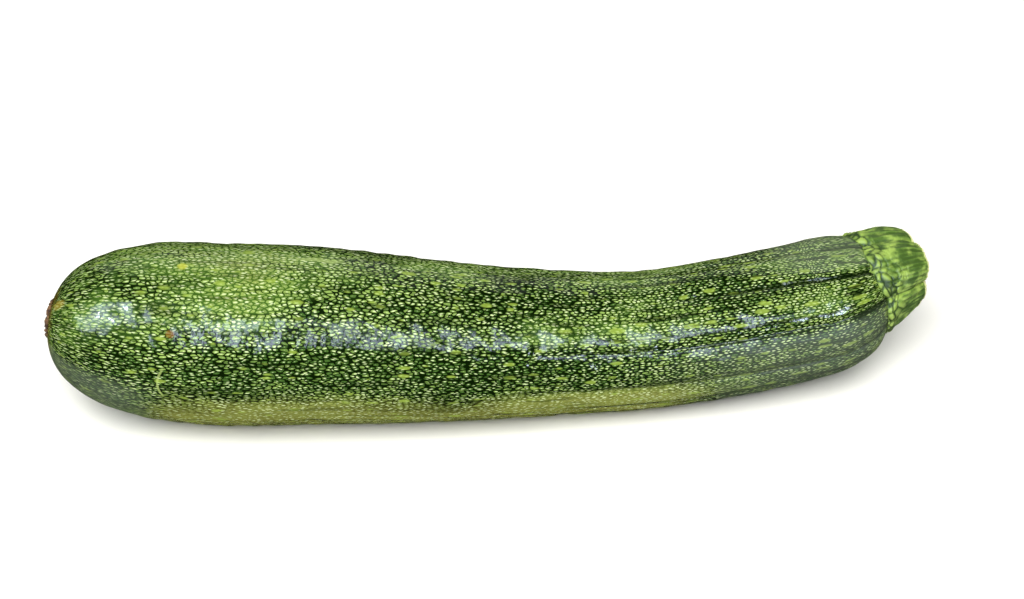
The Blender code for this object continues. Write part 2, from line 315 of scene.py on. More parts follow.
def linear(colour):
    """Turns an sRGB hex colour into linear light, channel by channel, by the sRGB curve."""
    channels = [int(colour[start:start + 2], 16) / 255.0 for start in (1, 3, 5)]
    light = [part / 12.92 if part <= 0.04045 else ((part + 0.055) / 1.055) ** 2.4 for part in channels]
    return light + [1.0]


def add_node(tree, kind, inputs, **settings):
    """Adds a node with its settings, and links or sets each of the given inputs."""
    node = tree.nodes.new(kind)
    for setting, value in settings.items():
        setattr(node, setting, value)
    for socket, value in inputs.items():
        if isinstance(value, bpy.types.NodeSocket):
            tree.links.new(value, node.inputs[socket])
        else:
            node.inputs[socket].default_value = value
    return node


def span(starts, ends):
    """Names the four values of a range that goes from one pair of numbers to another."""
    return dict(zip(("From Min", "From Max", "To Min", "To Max"), (*starts, *ends)))


def paint(tree, under, over, value, low, high, strength=1.0):
    """Lays one colour over another as a value goes smoothly from low to high, up to a strength."""
    cover = add_node(tree, "ShaderNodeMapRange", {
        "Value": value, **span((low, high), (0.0, strength)),
    }, interpolation_type="SMOOTHSTEP")
    colours = {0: cover.outputs[0], 6: under, 7: over}
    return add_node(tree, "ShaderNodeMix", colours, data_type="RGBA").outputs[2]


def new_finish(name):
    """Starts a material and gives it with its tree and its surface shader."""
    finish = bpy.data.materials.new(name)
    finish.use_nodes = True
    return finish, finish.node_tree, finish.node_tree.nodes["Principled BSDF"]


# Waxy squash rind: dark green skin under a thin natural wax, packed with pale cells in rows along the fruit,
# each with a dark gap round it and a paler core. The eye gets a wet gloss and a salt-and-pepper green with
# larger yellow-green flecks; low down the skin lay on the ground and is a dull ochre green, which also
# serves as a painted reflection of the pale surface below.
RIND_FIELD_DARK = "#081602"
RIND_FIELD_MID = "#3a5a1e"
DASH_DEEP = "#3a5824"
DASH_MID = "#829e50"
DASH_PALE = "#c2d09e"
FLECK = "#869e40"
GROUND_SPOT_AND_REFLECTION = "#7c7e3e"
SCAR_HALO = "#6e5e1e"
SCAR_RIM = "#2c2008"
# Grey of a dusty wax bloom, partly a painted reflection of pale surroundings low down and on the neck
BLOOM_AND_SHEEN = "#74826f"

# Gloss: clean wax, worn wax, the cores of the dashes, and the dusty bloom with its painted reflection
WAX_ROUGHNESS = 0.10
WORN_ROUGHNESS = 0.16
DASH_ROUGHNESS = 0.24
BLOOM_ROUGHNESS = 0.5
RIND_SPECULAR = 0.28

# Spacings in millimetres along the fruit and across it; the real skin has still finer speckles, which are
# too small to show and are drawn as part of the dashes
DASH_SPACING = (1.5, 0.82)
FLECK_SPACING = (6.6, 2.5)
ZONE_SPACING = (34.0, 13.0)
STREAK_SPACING = (30.0, 1.7)
FURROW_SPACING = (45.0, 1.15)
ZONE_DETAIL, STREAK_DETAIL, FURROW_DETAIL = 3.0, 2.0, 1.0

# Rows sway by up to these millimetres, as a noise with so many changes in each millimetre
SWAY = (0.9, 0.3, 0.0)
SWAY_SCALE = 0.45

# Dashes: how far rows are shifted against each other, how unevenly dashes lie on the belly and in the rows
# of the neck, between which distances in millimetres from the tip that changes, and how much they draw out
# at the tip
DASH_ROW_SHIFT = 0.25
DASH_RANDOMNESS = 0.86
ROW_RANDOMNESS = 0.45
ROWS_BETWEEN = (120.0, 190.0)
TIP_STRETCH = 11.0
TIP_STRETCH_LENGTH = 25.0

# A dash's reach from its centre, in spacings: by its zone, its draw and how near the tip it is, less what it
# loses further along; then how its distance is weighed along and across it, the gap round it, its tone by
# its zone, and its core's reach by its draw and zone
REACH_ZONES, REACH = (0.35, 0.65), (0.50, 0.66)
REACH_DRAW = 0.08
REACH_AT_TIP = -0.06
SMALLER_BETWEEN, SMALLER = (70.0, 130.0), (0.0, 0.11)
DASH_WEIGHTS = (0.9, 1.0, 0.0)
DASH_WEIGHTS_AT_TIP = (-0.3, 1.2, 0.0)
DASH_GAP = 0.20
GAP_STEEPNESS = 2.0
TONE_BY_ZONE, TONE_START = 2.0, -0.95
CORE_DRAW, CORE_START, CORE_BY_ZONE = 0.24, 0.04, 0.08

# Flecks: their reach by their draw, and what a crest and a streak add to it
FLECK_DRAWS, FLECK_REACH = (0.4, 1.0), (0.0, 0.28)
FLECK_ON_CREST = 0.10
FLECK_IN_STREAK = 0.5

# What makes the edges of the ground patch with its painted reflection, of the halo round the scar and of the
# single marks ragged
GROUND_BY_ZONE, GROUND_BY_DASH = 1.4, 0.6
HALO_BY_ZONE = 9.0
MARK_BY_STREAK = 0.8

# Covers: the value at which a colour starts to show, the value at which it covers, and how strongly it does
FIELD_COVER = (0.42, 0.68)
FIELD_STREAK_COVER = (0.50, 0.36, 0.65)
DASH_TONE_COVER = (0.0, 1.0)
DASH_COVER = (0.0, 0.13, 0.95)
GROUND_AND_REFLECTION_COVER = (0.85, 1.75, 0.72)
CORE_COVER = (0.0, 0.13, 0.85)
FLECK_COVER = (0.23, 0.36, 0.7)
GROOVE_SHADE_COVER = (0.25, 1.0, 0.92)
FURROW_COVER = (0.46, 0.36)
FURROW_BETWEEN, FURROW_STRENGTHS = (110.0, 205.0), (0.45, 0.85)
BLOOM_AND_SHEEN_COVER = (0.0, 1.0, 0.24)
HALO_COVER = (11.0, 7.5, 0.65)
RIM_COVER = (8.0, 5.5, 0.9)
MARK_COVER = (1.4, 0.9)
SCRATCH_COVER = (1.0, 0.6, 0.45)

# Single marks: an ochre stain by the scar, a yellow-green fleck, a brown spot, a pale streak and a dark
# nick; millimetres along and round the skin, half their length and width, the colour and how strong it is
SKIN_MARKS = (
    (7.5, 56.0, 3.2, 2.8, "#a08a38", 0.5),
    (42.1, 46.4, 1.7, 1.4, "#a6ac3a", 0.8),
    (40.8, 62.9, 1.3, 1.1, "#6e4a14", 0.7),
    (75.5, 42.1, 8.0, 1.2, "#93a860", 0.6),
    (114.4, 65.0, 1.8, 0.4, "#0c1a05", 0.9),
)

# A healed scratch: a stretch of a circle's line on the unrolled skin, in millimetres
SCRATCH_CENTRE = (46.1, 76.35, 0.0)
SCRATCH_RADIUS = 8.3
SCRATCH_MIDDLE = (38.4, 76.35)
SCRATCH_HALF = (2.4, 6.0)
SCRATCH_WIDTH = 0.34
SCRATCH_COLOUR = "#a9bb6e"

# Fine relief: pebbles of noise with so many changes in each millimetre, a little of the dashes, its depth,
# and the zones between which the wax is worn
PEBBLE_SCALE, PEBBLE_DETAIL = 0.55, 2.0
RELIEF_BY_DASH = 0.06
RELIEF_DEPTH = 0.12 * MM
WORN_ZONES = (0.3, 0.7)


def grey(value):
    """Gives a colour whose three channels hold one value."""
    return (value, value, value, 1.0)


def stretched(tree, vector, spacing):
    """Divides a place in millimetres by a spacing along the fruit and one across it."""
    along, across = spacing
    shares = (1.0 / along, 1.0 / across, 1.0 / across)
    return add_node(tree, "ShaderNodeVectorMath", {0: vector, 1: shares}, operation="MULTIPLY").outputs[0]


def off_centre(tree, flat, centre, half):
    """Gives how far a place is from a mark's centre, as a share of its half length and half width."""
    offset = add_node(tree, "ShaderNodeVectorMath", {0: flat, 1: (*centre, 0.0)}, operation="SUBTRACT")
    shares = stretched(tree, offset.outputs[0], half)
    return add_node(tree, "ShaderNodeVectorMath", {0: shares}, operation="LENGTH").outputs["Value"]


def laid_in_rows(tree, swayed, by_tip):
    """Stretches places to the dashes' spacing, longer at the tip, and shifts rows in turn by a cosine."""
    lengthened = add_node(tree, "ShaderNodeVectorMath", {
        0: by_tip, 1: (TIP_STRETCH, 0.0, 0.0), 2: swayed,
    }, operation="MULTIPLY_ADD").outputs[0]
    in_dashes = stretched(tree, lengthened, DASH_SPACING)
    row = add_node(tree, "ShaderNodeSeparateXYZ", {0: in_dashes}).outputs["Y"]
    row_turn = add_node(tree, "ShaderNodeMath", {
        0: row, 1: np.pi, 2: -np.pi * DASH_RANDOMNESS / 2.0,
    }, operation="MULTIPLY_ADD").outputs[0]
    to_side = add_node(tree, "ShaderNodeMath", {0: row_turn}, operation="COSINE").outputs[0]
    return add_node(tree, "ShaderNodeVectorMath", {
        0: to_side, 1: (DASH_ROW_SHIFT, 0.0, 0.0), 2: in_dashes,
    }, operation="MULTIPLY_ADD").outputs[0]


def dash_reach(tree, zones, draw, by_tip, from_tip):
    """Adds up how far a dash reaches: by its zone and its draw, less near the tip and less further along."""
    reach = add_node(tree, "ShaderNodeMapRange", {"Value": zones, **span(REACH_ZONES, REACH)}).outputs[0]
    for value, amount in ((draw, REACH_DRAW), (by_tip, REACH_AT_TIP)):
        reach = add_node(tree, "ShaderNodeMath", {
            0: value, 1: amount, 2: reach,
        }, operation="MULTIPLY_ADD").outputs[0]
    smaller = add_node(tree, "ShaderNodeMapRange", {
        "Value": from_tip, **span(SMALLER_BETWEEN, SMALLER),
    }).outputs[0]
    return add_node(tree, "ShaderNodeMath", {0: reach, 1: smaller}, operation="SUBTRACT").outputs[0]


def rind_dashes(tree, swayed, from_tip, zones):
    """Gives the dashes' draws, a place's plain and weighed distances from a dash's centre, and how deep it
    lies inside the dash.

    A cell is all that lies nearest one point of an uneven grid. A dash fills its cell up to its reach, less
    a gap along the cell's edge."""
    by_tip = add_node(tree, "ShaderNodeMath", {0: from_tip, 1: -TIP_STRETCH_LENGTH}, operation="DIVIDE")
    by_tip = add_node(tree, "ShaderNodeMath", {0: by_tip.outputs[0]}, operation="EXPONENT").outputs[0]
    laid = laid_in_rows(tree, swayed, by_tip)
    randomness = add_node(tree, "ShaderNodeMapRange", {
        "Value": from_tip, **span(ROWS_BETWEEN, (DASH_RANDOMNESS, ROW_RANDOMNESS)),
    }).outputs[0]
    cells, edges = [
        add_node(tree, "ShaderNodeTexVoronoi", {
            "Vector": laid, "Scale": 1.0, "Randomness": randomness,
        }, voronoi_dimensions="2D", feature=feature)
        for feature in ("F1", "DISTANCE_TO_EDGE")
    ]
    draws = add_node(tree, "ShaderNodeSeparateColor", {0: cells.outputs["Color"]}).outputs
    weights = add_node(tree, "ShaderNodeVectorMath", {
        0: by_tip, 1: DASH_WEIGHTS_AT_TIP, 2: DASH_WEIGHTS,
    }, operation="MULTIPLY_ADD").outputs[0]
    offset = add_node(tree, "ShaderNodeVectorMath", {
        0: laid, 1: cells.outputs["Position"],
    }, operation="SUBTRACT").outputs[0]
    offset = add_node(tree, "ShaderNodeVectorMath", {0: offset, 1: weights}, operation="MULTIPLY").outputs[0]
    off_dash = add_node(tree, "ShaderNodeVectorMath", {0: offset}, operation="LENGTH").outputs["Value"]
    reach = dash_reach(tree, zones, draws[1], by_tip, from_tip)
    within = add_node(tree, "ShaderNodeMath", {0: reach, 1: off_dash}, operation="SUBTRACT").outputs[0]
    from_gap = add_node(tree, "ShaderNodeMath", {
        0: edges.outputs["Distance"], 1: GAP_STEEPNESS, 2: -DASH_GAP,
    }, operation="MULTIPLY_ADD").outputs[0]
    inside = add_node(tree, "ShaderNodeMath", {0: within, 1: from_gap}, operation="MINIMUM").outputs[0]
    return draws, cells.outputs["Distance"], off_dash, inside


def inside_core(tree, draw, zones, off_dash):
    """Gives how deep a place lies inside a dash's core: a reach by draw and zone, less the distance."""
    core = add_node(tree, "ShaderNodeMath", {0: draw, 1: CORE_DRAW, 2: CORE_START}, operation="MULTIPLY_ADD")
    core = add_node(tree, "ShaderNodeMath", {
        0: zones, 1: CORE_BY_ZONE, 2: core.outputs[0],
    }, operation="MULTIPLY_ADD")
    inside = add_node(tree, "ShaderNodeMath", {0: core.outputs[0], 1: off_dash}, operation="SUBTRACT")
    return inside.outputs[0]


def inside_fleck(tree, swayed, crest, streaks):
    """Gives how deep a place lies inside a fleck.

    That is a drawn reach, less the distance, and more on crests and in streaks."""
    flecks = add_node(tree, "ShaderNodeTexVoronoi", {
        "Vector": stretched(tree, swayed, FLECK_SPACING), "Scale": 1.0, "Randomness": 1.0,
    }, voronoi_dimensions="2D")
    draw = add_node(tree, "ShaderNodeSeparateColor", {0: flecks.outputs["Color"]}).outputs[0]
    reach = add_node(tree, "ShaderNodeMapRange", {"Value": draw, **span(FLECK_DRAWS, FLECK_REACH)})
    inside = add_node(tree, "ShaderNodeMath", {
        0: reach.outputs[0], 1: flecks.outputs["Distance"],
    }, operation="SUBTRACT")
    for value, amount in ((crest, FLECK_ON_CREST), (streaks, FLECK_IN_STREAK)):
        inside = add_node(tree, "ShaderNodeMath", {
            0: value, 1: amount, 2: inside.outputs[0],
        }, operation="MULTIPLY_ADD")
    return inside.outputs[0]


def with_marks(tree, skin, flat, streaks):
    """Lays the single marks over the skin as ragged ovals, and the scratch as a stretch of a circle."""
    for along, round_way, half_along, half_round, colour, strength in SKIN_MARKS:
        off = off_centre(tree, flat, (along, round_way), (half_along, half_round))
        ragged = add_node(tree, "ShaderNodeMath", {
            0: streaks, 1: MARK_BY_STREAK, 2: off,
        }, operation="MULTIPLY_ADD").outputs[0]
        skin = paint(tree, skin, linear(colour), ragged, *MARK_COVER, strength)
    from_centre = add_node(tree, "ShaderNodeVectorMath", {0: flat, 1: SCRATCH_CENTRE}, operation="DISTANCE")
    off_circle = add_node(tree, "ShaderNodeMath", {
        0: from_centre.outputs["Value"], 1: SCRATCH_RADIUS,
    }, operation="SUBTRACT").outputs[0]
    off_circle = add_node(tree, "ShaderNodeMath", {0: off_circle}, operation="ABSOLUTE").outputs[0]
    off_line = add_node(tree, "ShaderNodeMath", {0: off_circle, 1: SCRATCH_WIDTH}, operation="DIVIDE")
    off_scratch = add_node(tree, "ShaderNodeMath", {
        0: off_line.outputs[0], 1: off_centre(tree, flat, SCRATCH_MIDDLE, SCRATCH_HALF),
    }, operation="MAXIMUM").outputs[0]
    return paint(tree, skin, linear(SCRATCH_COLOUR), off_scratch, *SCRATCH_COVER)


def waxy_squash_rind():
    """Lays colours over each other from the dark field up; gloss and relief follow the same patterns."""
    finish, tree, shader = new_finish("waxy_squash_rind")
    groove, crest, ground, pale, bloom_and_sheen = [
        add_node(tree, "ShaderNodeAttribute", {}, attribute_name=layer).outputs["Fac"]
        for layer in ("groove", "crest", "ground", "pale", "bloom_and_sheen")
    ]
    where, flat = [
        add_node(tree, "ShaderNodeAttribute", {}, attribute_name=layer).outputs["Vector"]
        for layer in ("place_mm", "unrolled_mm")
    ]
    from_tip = add_node(tree, "ShaderNodeSeparateXYZ", {0: where}).outputs["X"]
    sway = add_node(tree, "ShaderNodeTexNoise", {"Vector": where, "Scale": SWAY_SCALE, "Detail": 1.0})
    swayed = add_node(tree, "ShaderNodeVectorMath", {
        0: sway.outputs["Color"], 1: SWAY, 2: flat,
    }, operation="MULTIPLY_ADD").outputs[0]
    noises = ((ZONE_SPACING, ZONE_DETAIL), (STREAK_SPACING, STREAK_DETAIL), (FURROW_SPACING, FURROW_DETAIL))
    zones, streaks, furrows = [
        add_node(tree, "ShaderNodeTexNoise", {
            "Vector": stretched(tree, where, spacing), "Scale": 1.0, "Detail": detail,
        }).outputs["Fac"]
        for spacing, detail in noises
    ]
    # The zones also carry painted light on the top near the blossom end and painted shade low down
    zones = add_node(tree, "ShaderNodeMath", {0: zones, 1: pale}, operation="ADD").outputs[0]
    draws, off_cell, off_dash, inside = rind_dashes(tree, swayed, from_tip, zones)
    core = inside_core(tree, draws[2], zones, off_dash)

    skin = paint(tree, linear(RIND_FIELD_DARK), linear(RIND_FIELD_MID), zones, *FIELD_COVER)
    skin = paint(tree, skin, linear(RIND_FIELD_DARK), streaks, *FIELD_STREAK_COVER)
    tone = add_node(tree, "ShaderNodeMath", {
        0: zones, 1: TONE_BY_ZONE, 2: TONE_START,
    }, operation="MULTIPLY_ADD").outputs[0]
    tone = add_node(tree, "ShaderNodeMath", {0: draws[0], 1: tone}, operation="ADD").outputs[0]
    dash_colour = paint(tree, linear(DASH_DEEP), linear(DASH_MID), tone, *DASH_TONE_COVER)
    skin = paint(tree, skin, dash_colour, inside, *DASH_COVER)
    # Ground patch, partly a painted reflection of the pale surface below
    on_ground_and_reflection = ground
    for value, amount in ((zones, GROUND_BY_ZONE), (inside, GROUND_BY_DASH)):
        on_ground_and_reflection = add_node(tree, "ShaderNodeMath", {
            0: value, 1: amount, 2: on_ground_and_reflection,
        }, operation="MULTIPLY_ADD").outputs[0]
    skin = paint(tree, skin, linear(GROUND_SPOT_AND_REFLECTION), on_ground_and_reflection, *GROUND_AND_REFLECTION_COVER)
    skin = paint(tree, skin, linear(DASH_PALE), core, *CORE_COVER)
    skin = paint(tree, skin, linear(FLECK), inside_fleck(tree, swayed, crest, streaks), *FLECK_COVER)
    # Painted shade in the grooves
    skin = paint(tree, skin, linear(RIND_FIELD_DARK), groove, *GROOVE_SHADE_COVER)
    furrow_strength = add_node(tree, "ShaderNodeMapRange", {
        "Value": from_tip, **span(FURROW_BETWEEN, FURROW_STRENGTHS),
    }).outputs[0]
    skin = paint(tree, skin, linear(RIND_FIELD_DARK), furrows, *FURROW_COVER, furrow_strength)
    # Grey bloom, partly a painted reflection of the pale surroundings
    skin = paint(tree, skin, linear(BLOOM_AND_SHEEN), bloom_and_sheen, *BLOOM_AND_SHEEN_COVER)
    from_scar = add_node(tree, "ShaderNodeMath", {
        0: zones, 1: HALO_BY_ZONE, 2: from_tip,
    }, operation="MULTIPLY_ADD").outputs[0]
    skin = paint(tree, skin, linear(SCAR_HALO), from_scar, *HALO_COVER)
    skin = paint(tree, skin, linear(SCAR_RIM), from_scar, *RIM_COVER)
    skin = with_marks(tree, skin, flat, streaks)
    tree.links.new(skin, shader.inputs["Base Color"])

    pebbles = add_node(tree, "ShaderNodeTexNoise", {
        "Vector": where, "Scale": PEBBLE_SCALE, "Detail": PEBBLE_DETAIL,
    }).outputs["Fac"]
    relief = add_node(tree, "ShaderNodeMath", {
        0: off_cell, 1: RELIEF_BY_DASH, 2: pebbles,
    }, operation="MULTIPLY_ADD").outputs[0]
    bump = add_node(tree, "ShaderNodeBump", {"Height": relief, "Strength": 1.0, "Distance": RELIEF_DEPTH})
    tree.links.new(bump.outputs[0], shader.inputs["Normal"])
    rough = add_node(tree, "ShaderNodeMapRange", {
        "Value": zones, **span(WORN_ZONES, (WAX_ROUGHNESS, WORN_ROUGHNESS)),
    }).outputs[0]
    rough = paint(tree, rough, grey(DASH_ROUGHNESS), core, *CORE_COVER[:2])
    rough = paint(tree, rough, grey(BLOOM_ROUGHNESS), bloom_and_sheen, *BLOOM_AND_SHEEN_COVER[:2])
    tree.links.new(rough, shader.inputs["Roughness"])
    shader.inputs["Specular IOR Level"].default_value = RIND_SPECULAR
    return finish


# Where the finish, the painted light and the painted shade change over the fruit. The pattern closes up
# towards the ends as a power of the radius. A bell patch is given by the middle and the half width along,
# and by those round it in degrees.
PATTERN_CROWDING = 0.8
# Painted light: a lighter patch on the top near the blossom end; painted shade: low on the near side and
# neck
PAINTED_LIGHT_PATCH = (40.0 * MM, 28.0 * MM, 82.0, 34.0)
PAINTED_SHADE_PATCH = (95.0 * MM, 66.0 * MM, 160.0, 20.0)
PAINTED_LIGHT_STRENGTH, PAINTED_SHADE_STRENGTH, NECK_STRENGTH = 0.28, -0.34, -0.16

# Bloom areas, whose grey is partly a dusty wax bloom and partly a painted reflection: where each starts
# along the fruit and how far it takes to be full, backwards if that is below zero; then the angles at
# which it starts and ends, and over how many degrees its sides fade
LOW_NECK_BLOOM_AND_SHEEN = (135.0 * MM, 75.0 * MM, 150.0, 345.0, 22.0)
TOP_NECK_BLOOM_AND_SHEEN = (180.0 * MM, 20.0 * MM, 15.0, 118.0, 8.0)
LOW_TIP_BLOOM_AND_SHEEN = (38.0 * MM, -22.0 * MM, 166.0, 345.0, 22.0)
TOP_NECK_STRENGTH = 0.8

# Painted shade darkens the grooves towards the neck, and more so just before the peduncle's foot
GROOVE_SHADE, GROOVE_SHADE_AT_FOOT = 0.65, 0.6
FOOT_SHADE_FROM, FOOT_SHADE_OVER = 12.0 * MM, 10.0 * MM

# Ground patch, where the skin lay on the ground and which also serves as a painted reflection of the pale
# surface below: turned some degrees away from the near side, up to a height over the middle line as a share
# of the radius, and between two distances along the fruit
GROUND_TURN, GROUND_HEIGHT, GROUND_SIDE_FADE = 12.0, 0.58, 0.9
GROUND_START, GROUND_START_FADE = 20.0 * MM, 16.0 * MM
GROUND_END, GROUND_END_FADE = 190.0 * MM, 40.0 * MM


def bell_patch(along, angle, middle_along, half_along, middle_angle, half_angle):
    """Gives exp(-a² - b²), with a and b the distances from the middle in half widths."""
    return np.exp(-((along - middle_along) / half_along) ** 2 - ((angle - middle_angle) / half_angle) ** 2)


def bloom_and_sheen_area(along, angle, start, over, first, last, fade):
    """Rises from the start along the fruit, and between two angles, each by an eased step."""
    return ease((along - start) / over) * ease((angle - first) / fade) * ease((last - angle) / fade)


def ground_and_reflection_patch(along, angle):
    """Gives where the skin lay on the ground: eased steps of the turned height and of both ends.

    The patch also serves as a painted reflection of the pale surface below.
    """
    low = ease((-np.sin(np.radians(angle - GROUND_TURN)) + GROUND_HEIGHT) / GROUND_SIDE_FADE)
    from_start = ease((along - GROUND_START) / GROUND_START_FADE)
    return low * from_start * ease((GROUND_END - along) / GROUND_END_FADE)


def make_rind():
    """Builds the skin, with places and areas for its finish stored as attributes of its points.

    Some of these areas hold painted light, painted shade and painted reflections.
    """
    along, out, angle, foot_angle = rind_rings()
    rings = place(along, out, angle)
    steps = np.hypot(np.diff(along, axis=0), np.diff(out, axis=0))
    steps[:len(SEAT_RINGS)] = 0.0
    meridian = np.concatenate((np.zeros_like(steps[:1]), np.cumsum(steps, axis=0)))
    on_rib = np.radians(foot_angle + np.zeros_like(along))
    pattern_radius = BELLY_RADIUS * (out / BELLY_RADIUS) ** PATTERN_CROWDING
    pattern = np.stack((meridian, pattern_radius * np.cos(on_rib), pattern_radius * np.sin(on_rib)), axis=-1)
    neck = ease((along - RIB_START) / (RIB_FULL - RIB_START))
    crown = arch(foot_angle, GROOVE_ANGLES)
    by_foot = ease((along - FOOT_ALONG + FOOT_SHADE_FROM) / FOOT_SHADE_OVER)
    painted_light_patch = bell_patch(along, angle, *PAINTED_LIGHT_PATCH)
    painted_shade_patch = bell_patch(along, angle, *PAINTED_SHADE_PATCH)
    low_neck = bloom_and_sheen_area(along, foot_angle, *LOW_NECK_BLOOM_AND_SHEEN)
    top_neck = bloom_and_sheen_area(along, foot_angle, *TOP_NECK_BLOOM_AND_SHEEN)
    low_tip = bloom_and_sheen_area(along, angle, *LOW_TIP_BLOOM_AND_SHEEN)
    layers = {
        "place_mm": pattern / MM,
        # Dusty bloom with a painted greyish reflection: on the low neck, the top rib by the neck, and low at
        # the tip
        "bloom_and_sheen": np.maximum(np.maximum(low_neck, TOP_NECK_STRENGTH * top_neck), low_tip),
        # Painted light on the top near the blossom end, painted shade low on the near side and on the low
        # neck
        "pale": PAINTED_LIGHT_STRENGTH * painted_light_patch + PAINTED_SHADE_STRENGTH * painted_shade_patch + NECK_STRENGTH * low_neck,
        # Painted shade in the grooves, deepest just before the peduncle's foot
        "groove": neck * (1.0 - crown) ** 2 * (GROOVE_SHADE + GROOVE_SHADE_AT_FOOT * by_foot),
        "crest": neck * crown ** 2,
        # Ground patch, which is also a painted reflection of the pale surface below
        "ground": ground_and_reflection_patch(along, angle),
    }
    poles = (place(seat_along() + SEAT_DEPTH, 0.0, 0.0), place(STEM_END_ALONG, 0.0, 0.0))
    rind = closed_surface("rind", rings, poles, waxy_squash_rind(), layers)
    unrolled(rind.data, "unrolled_mm", along.shape[1], meridian / MM, on_rib * BELLY_RADIUS / MM)
    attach(rind, "root")
    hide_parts("fruit")


make_rind()


# Peduncle: the stalk that the fruit hung from, one with the fruit. Its five fleshy lobes spread over the
# shoulder, blistered at the foot and wrinkled lengthwise further up, where a knife cut it off at a slant.
# Lists give the five lobes in turn, from the upper far one over the top and on round by the near side.
LOBE_FOOT_RADII = tuple(radius * MM for radius in (15.3, 14.8, 14.0, 13.8, 14.8))
LOBE_CUT_RADII = tuple(radius * MM for radius in (12.7, 11.2, 10.0, 10.0, 11.0))
LOBE_TAPERS = (4.5, 2.4, 1.3, 1.4, 2.4)
LOBE_GROOVE_DEPTH = 2.5 * MM
LOBE_ROUNDNESS = 0.45
CREASE_DEPTH = 0.8 * MM
CREASE_WIDTH = 9.0
CREASE_FADE = 0.7
FOOT_SWELL = 0.6 * MM
FOOT_SWELL_AT = 0.14
FOOT_GAP = 0.2 * MM

# The cut is slanted, so the stalk is longest at one angle round it; its face has sunk a little in drying,
# and crossed waves of fibres stand in it
PEDUNCLE_LENGTH = 10.8 * MM
CUT_SLANT = np.tan(np.radians(21.0))
CUT_LONG_SIDE = 118.0
CUT_ROUNDING = 1.2 * MM
CUT_SINK = 0.5 * MM
CUT_SINK_OVER = 0.35
FIBRE_DEPTH = 0.12 * MM
FIBRE_FADE = 0.2
FIBRES_ROUND, FIBRES_INWARD = 45.0, 38.0
FIBRE_WAVES, FIBRE_WAVE_SIZE = 5.0, 2.0

# Blisters: domes of uneven height, on patches that reach up from the foot; patches are a product of two
# waves, each with its crests round the stalk, its twist from foot to cut, and its phase in degrees
BLISTER_SIZE = 1.8 * MM
BLISTER_HEIGHT = 0.75 * MM
BLISTER_SEED = 11
BLISTER_MEAN_RADIUS = 13.0 * MM
BLISTER_MARGIN = 5.0 * MM
BLISTERED_LENGTH = 1.6 * PEDUNCLE_LENGTH
BLISTER_SWAY = 0.45 * MM
BLISTER_SWAY_LENGTHS = (6.0 * MM, 12.0 * MM)
BLISTER_PATCHES = ((3.0, 0.0, 40.0), (5.0, 4.0, 0.0))
BLISTER_REACH, BLISTER_REACH_MORE, BLISTER_REACH_FADE = 0.28, 0.42, 1.25
BLISTERS_START, BLISTERS_FULL_AFTER = 0.4, 0.05
DOME_WIDTH, DOME_ROUNDNESS, DOME_LOWEST = 0.6, 0.7, 0.25

# Wrinkles: sharp-crested waves, cut off at both ends of their height, and folded together in patches
WRINKLES = 14
WRINKLE_CRESTS = (26, 96)
WRINKLE_SEED = 21
WRINKLE_DEPTH = 0.21 * MM
WRINKLE_LIMITS = (-2.0, 1.2)
WRINKLE_SWAY, WRINKLE_SWAY_TWIST = 8.0, 2.2
WRINKLES_FULL_AT = 0.5
WRINKLES_UNDER_BLISTERS = 0.6
FOLD_PATCHES = ((11.0, 5.0, 0.0), (4.0, -3.0, 90.0))
FOLD_MEAN = 0.65
RIDGE_LEAST = 0.35

# Fineness of the faces
PEDUNCLE_STEPS_PER_RIB = 26
UNDER_RINGS = 6
SIDE_RINGS = 190
BEVEL_RINGS = 8
FACE_RINGS = 40


def stem_end_along(out, angle):
    """Gives how far along the rounded stem end is at a distance out, by its superellipse turned round."""
    share = np.clip(out / (NECK_RADIUS + rib_relief(STEM_END_ALONG, angle)), 0.0, 1.0)
    height = (1.0 - share ** STEM_END_POWER) ** (1.0 / STEM_END_POWER)
    return STEM_END_ALONG - STEM_END_LENGTH * (1.0 - height)


def across_lobes(values, angle):
    """Leads a value from the middle of each lobe to that of the next by the eased share between them."""
    position = position_between(angle, GROOVE_ANGLES[1::2])
    before = np.floor(position).astype(int)
    values = np.array(values)
    first = values[before % len(values)]
    second = values[(before + 1) % len(values)]
    return first + (second - first) * ease(position - before)


def peduncle_radius(share, angle):
    """Gives a power curve from foot to cut with a bell-shaped swell, less the grooves and the creases.

    A groove is what an arch to a power lacks of 1, and a crease is a bell that fades towards the cut."""
    at_foot = across_lobes(LOBE_FOOT_RADII, angle)
    at_cut = across_lobes(LOBE_CUT_RADII, angle)
    swell = FOOT_SWELL * np.exp(-((share - FOOT_SWELL_AT) / FOOT_SWELL_AT) ** 2)
    outline = at_foot + (at_cut - at_foot) * share ** across_lobes(LOBE_TAPERS, angle) + swell
    groove = LOBE_GROOVE_DEPTH * (1.0 - arch(angle, GROOVE_ANGLES[0::2]) ** LOBE_ROUNDNESS)
    from_creases = np.mod(angle[..., None] - np.array(GROOVE_ANGLES[1::2]) + 180.0, 360.0) - 180.0
    nearest = np.min(np.abs(from_creases), axis=-1)
    crease = CREASE_DEPTH * np.exp(-(nearest / CREASE_WIDTH) ** 2) * (1.0 - CREASE_FADE * share)
    return outline - groove - crease


def cut_along(out, angle):
    """Gives where the slanted cut lies: a plane across the stalk, tilted towards its long side."""
    slant = CUT_SLANT * out * np.cos(np.radians(angle - CUT_LONG_SIDE))
    return FOOT_ALONG + PEDUNCLE_LENGTH + slant


